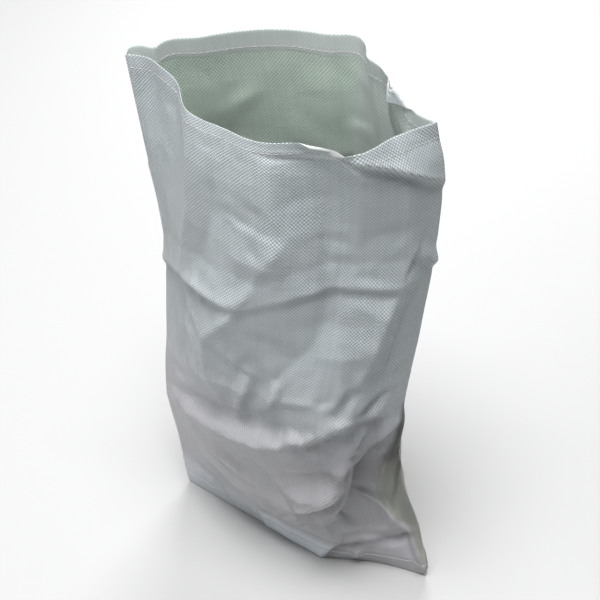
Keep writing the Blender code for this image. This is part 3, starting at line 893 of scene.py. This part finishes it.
# Lines along which painted shade darkens the cloth. They are written as creases are, but in place of the
# height stands the share of the light that is lost, in thousandths.
PAINTED_SHADE_OUTSIDE = {
    "gap": (((508, 190, 100), (529, 250, 800), (540, 300, 850), (549, 340, 600)), 10, 60),
    "under_lump": (((320, 118, 250), (360, 140, 400), (400, 165, 450), (425, 200, 450), (440, 240, 300)),
                   4, 40),
    "middle": (((290, 600, 120), (290, 640, 140), (335, 700, 140), (345, 630, 190), (400, 530, 120),
                (420, 480, 50)), 70, 70),
    "above_lump": (((330, 235, 150), (400, 250, 420), (430, 230, 400)), 70, 50),
    "hollow": (((420, 120, 200), (450, 160, 440), (475, 210, 580), (475, 270, 660), (485, 300, 400)),
               60, 50),
    "strip": (((190, 100, 100), (260, 104, 300), (323, 98, 250), (375, 78, 120)), 20, 30),
    "band_edge": (((205, 49, 100), (280, 49, 250), (385, 52, 300)), 5, 4),
    "band_end": (((386, 48, 500), (366, 25, 500), (346, 0, 300)), 22, 4),
    "corner_valley": (((385, 47, 600), (420, 52, 700), (450, 56, 600), (505, 70, 600), (530, 88, 500)),
                      5, 14),
    "above_corner": (((450, 85, 100), (480, 97, 220), (510, 97, 160)), 25, 25),
    "wing_low": (((530, 100, 250), (536, 140, 250), (540, 170, 0)), 20, 50),
    "under_flap": (((410, 774, 100), (453, 756, 250), (509, 725, 250), (548, 700, 100)), 4, 6),
    "ear": (((585, 780, 100), (655, 780, 150)), 50, 50),
}
PAINTED_SHADE_INSIDE = {
    "lip": (((345, 787, 100), (365, 787, 300), (385, 787, 700), (410, 787, 800), (430, 787, 100)), 30, 30),
    "deep": (((760, 600, 300), (850, 600, 380), (950, 600, 380), (1050, 600, 300)), 100, 600),
}


def wing_shade_share():
    """How far each grid point belongs to the wing, which gets painted shade."""
    edge_round, edge_up = np.array(WING_EDGE).T / MM
    edge = np.interp(ROW_HEIGHTS, edge_up, edge_round)[:, None]
    share = smoothstep((AROUND_PLACE - edge) / WING_EDGE_BLEND + 0.5) * before(WING_BEHIND, AROUND_PLACE)
    return share * before(WING_TOP, ROW_HEIGHTS)[:, None]


def bottom_fold_share():
    """How far each grid point belongs to the bottom fold in front, which ends at a slant."""
    place, blend = BAND_TO
    slant = place + BAND_LEAN * ROW_HEIGHTS[:, None]
    in_front = after(BAND_FROM, AROUND_PLACE) * before((slant, blend), AROUND_PLACE)
    return before((BOTTOM_FOLD_TOP, BOTTOM_FOLD_EDGE), ROW_HEIGHTS)[:, None] * in_front


def whitened_share(grid):
    """How far each point turns white, from how sharply the wall bends there: that is its distance from the
    middle of its neighbours."""
    middle = 0.25 * (np.roll(grid, 1, axis=1) + np.roll(grid, -1, axis=1))
    middle[1:-1] += 0.25 * (grid[:-2] + grid[2:])
    bend = np.linalg.norm(grid - middle, axis=2)
    bend[[0, -1]] = 0.0
    return np.clip((bend - WHITE_FROM) / WHITE_SPAN, 0.0, 1.0) * WHITE_SHARE


def add_marks(mesh, folded, hem):
    """The numbers for the material, each for the outer and the inner side."""
    none = np.zeros(wall.shape[:2])
    left = before(LEFT_TINT_UP, ROW_HEIGHTS)[:, None] * before(LEFT_TINT_ROUND, AROUND_PLACE)
    white = whitened_share(wall)
    add_number(mesh, "inside", none, none + 1.0)
    add_number(mesh, "inner_hem", none, none + hem[:, None])
    add_number(mesh, "bottom_band", np.maximum(folded, LEFT_TINT * left), none)
    add_number(mesh, "wing_shade", wing_shade_share(), none)
    # painted shade along the lines of the two tables
    add_number(mesh, "painted_shade", np.max(creases(PAINTED_SHADE_OUTSIDE), axis=0), np.max(creases(PAINTED_SHADE_INSIDE), axis=0))
    add_number(mesh, "creased", white, white)


def add_cloth_map(mesh):
    """Map in metres of cloth: how far round, and how far up. The last column runs on to the full round."""
    columns = len(AROUND_PLACE)
    heights = np.concatenate([ROW_HEIGHTS, ROW_HEIGHTS[::-1]])
    corner = np.zeros(len(mesh.loops), int)
    mesh.loops.foreach_get("vertex_index", corner)
    column = corner % columns
    quads = 4 * (len(heights) - 1) * columns
    start = np.repeat(column[:quads].reshape(-1, 4)[:, 0], 4)
    place = AROUND_PLACE[column]
    place[:quads] += ROUND * ((column[:quads] == 0) & (start == columns - 1))
    uv = mesh.uv_layers.new(name="cloth")
    uv.data.foreach_set("uv", np.column_stack([place, heights[corner // columns]]).ravel())


def add_cloth():
    """The sack itself: outer wall, rim, inner wall and both sides of the bottom in one closed mesh."""
    rows, columns = wall.shape[:2]
    normals = grid_normals(wall)
    folded = bottom_fold_share()
    outer = wall + (BOTTOM_FOLD * folded)[..., None] * normals
    outer[0] = wall[0]
    hem = (ROW_HEIGHTS > MOUTH - HEM_HEIGHT) & (ROW_HEIGHTS < MOUTH - RIM_EDGE)
    inner = wall - (CLOTH + HEM_FOLD * hem)[:, None, None] * normals
    inner[0, :, 2] = CLOTH
    points = np.concatenate([outer, inner[::-1]]).reshape(-1, 3)
    faces = tube_faces(2 * rows, columns).tolist()
    bottom = np.arange(columns)
    faces.append(bottom[::-1].tolist())
    faces.append((bottom + (2 * rows - 1) * columns).tolist())
    piece = add_mesh("sack_cloth", points, faces, CLOTH_PAINT)
    smooth = np.ones(len(piece.data.polygons), bool)
    smooth[-2:] = False
    piece.data.polygons.foreach_set("use_smooth", smooth)
    add_marks(piece.data, folded, hem)
    add_cloth_map(piece.data)
    return piece


cloth = add_cloth()
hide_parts("sack_body")
print("cloth", len(cloth.data.polygons), "faces")

# %% [markdown]
# ## The stitches
# The hem and the bottom are sewn with a thread nearly as dark as the cloth. A stitch lies on the cloth and
# dives into it at both ends. All stitches of a line are worked out at once, as small tubes along the line
# that the wall's grid has at the height of the seam.

# %% The stitches
STITCH = 0.0075
STITCH_STEP = 0.0092
STITCH_FROM = 0.003  # where a line of stitches starts
THREAD = 0.0004  # half of the thread's thickness
STITCH_ALONG = np.array([0.0, 0.12, 0.35, 0.65, 0.88, 1.0])
STITCH_LIFT = np.array([-0.9, 0.1, 0.7, 0.7, 0.1, -0.9])
STITCH_SIDES = 5


def wall_line(grid, height):
    """The line round the wall at one height, between two rows of the grid, closed by its first point."""
    row = np.interp(height, ROW_HEIGHTS, np.arange(len(ROW_HEIGHTS)))
    low = int(row)
    line = grid[low] * (low + 1 - row) + grid[low + 1] * (row - low)
    return np.concatenate([line, line[:1]])


def stitch_tubes(height, side, depth, round_to):
    """Points of all stitches of a seam, as stitches x rings x sides."""
    line = wall_line(wall, height)
    outward = wall_line(grid_normals(wall), height) * side
    length = path_length(line)
    end = np.interp(round_to, np.append(AROUND_PLACE, ROUND), length)
    starts = np.arange(STITCH_FROM, end - STITCH_STEP, STITCH_STEP)
    wanted = starts[:, None] + STITCH * STITCH_ALONG[None, :]
    middle = along_line(line, length, wanted)
    normal = along_line(outward, length, wanted)
    middle = middle + normal * (depth + THREAD * STITCH_LIFT[None, :, None])
    run = unit(np.gradient(middle, axis=1))
    across = np.cross(normal, run)
    angle = np.linspace(0.0, 2 * math.pi, STITCH_SIDES, endpoint=False)[:, None]
    circle = np.cos(angle) * across[:, :, None, :] + np.sin(angle) * np.cross(run, across)[:, :, None, :]
    return middle[:, :, None, :] + THREAD * circle


def tube_run_faces(count, rings, sides):
    """Quads along each tube and a flat cap at both of its ends."""
    quads = tube_faces(rings, sides)
    first = np.arange(sides)
    every = np.arange(count)[:, None, None] * rings * sides
    caps = np.stack([first[::-1], first + (rings - 1) * sides])
    return (quads[None] + every).reshape(-1, 4).tolist() + (caps[None] + every).reshape(-1, sides).tolist()


def add_stitches(name, seams):
    """One piece for the seams, each given by its height, side, depth and how far round it goes."""
    tubes = np.concatenate([stitch_tubes(*seam) for seam in seams])
    count, rings, sides = tubes.shape[:3]
    piece = add_mesh(name, tubes.reshape(-1, 3), tube_run_faces(count, rings, sides), THREAD_PAINT)
    print(name, count, "stitches")
    return piece


hem_seam = MOUTH - HEM_STITCH_DROP
hem_stitches = add_stitches("hem_stitches", ((hem_seam, 1.0, 0.0, ROUND),
                                             (hem_seam, -1.0, CLOTH + HEM_FOLD, ROUND)))
base_stitches = add_stitches("base_stitches", ((BASE_STITCH_HEIGHT, 1.0, BOTTOM_FOLD, FLAT_WIDTH),))
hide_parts("hem_stitching")
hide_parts("base_stitching")

# %% [markdown]
# ## Floor and light
# The sack was lit softly from above and a little from the left, and not much from below. A large soft lamp
# overhead, a weaker one at the left and a faint blue world do the same. The third lamp stands behind the
# sack and lights its inside through the cloth.

# %% Floor and light
FLOOR_COLOUR = (0.47, 0.47, 0.47, 1)
FLOOR_ROUGH = 0.9
FLOOR_HALF = 6.0
# name, place, the point it faces, side of its square, watts
LAMPS = (
    ("overhead", (-0.3, -0.8, 4.6), (0, 0, 0.3), 2.0, 312),
    ("left", (-2.2, -0.6, 1.5), (0, 0, 0.4), 1.2, 13),
    ("behind", (0.35, 2.4, 1.8), (0, 0, 0.5), 1.5, 70),
)
SKY_COLOUR = (0.90, 0.95, 1.0, 1)
SKY_STRENGTH = 0.10


def add_floor():
    """Plain pale floor."""
    corners = [(FLOOR_HALF * x, FLOOR_HALF * y, 0) for x, y in ((-1, -1), (1, -1), (1, 1), (-1, 1))]
    mesh = bpy.data.meshes.new("floor")
    mesh.from_pydata(corners, [], [(0, 1, 2, 3)])
    mesh.materials.append(plain_paint("pale_floor", FLOOR_COLOUR, FLOOR_ROUGH))
    floor = add_object("floor", mesh)


def add_light(name, place, target, size, power):
    """Soft square light that faces the target."""
    data = bpy.data.lights.new(name, "AREA")
    data.size = size
    data.energy = power
    lamp = add_object(name, data)
    x, y, z = np.array(target) - np.array(place)
    lamp.location = place
    lamp.rotation_euler = (math.atan2(math.hypot(x, y), -z), 0.0, math.atan2(y, x) - math.pi / 2)


def add_sky():
    """Even light from all round."""
    world = bpy.data.worlds.new("studio")
    world.use_nodes = True
    sky = world.node_tree.nodes["Background"]
    sky.inputs["Color"].default_value = SKY_COLOUR
    sky.inputs["Strength"].default_value = SKY_STRENGTH
    bpy.context.scene.world = world


add_floor()
for lamp_row in LAMPS:
    add_light(*lamp_row)
add_sky()
bpy.context.scene.view_settings.view_transform = "Standard"
print("floor and", len(bpy.data.lights), "lamps")

# %% The end
bpy.context.view_layer.update()
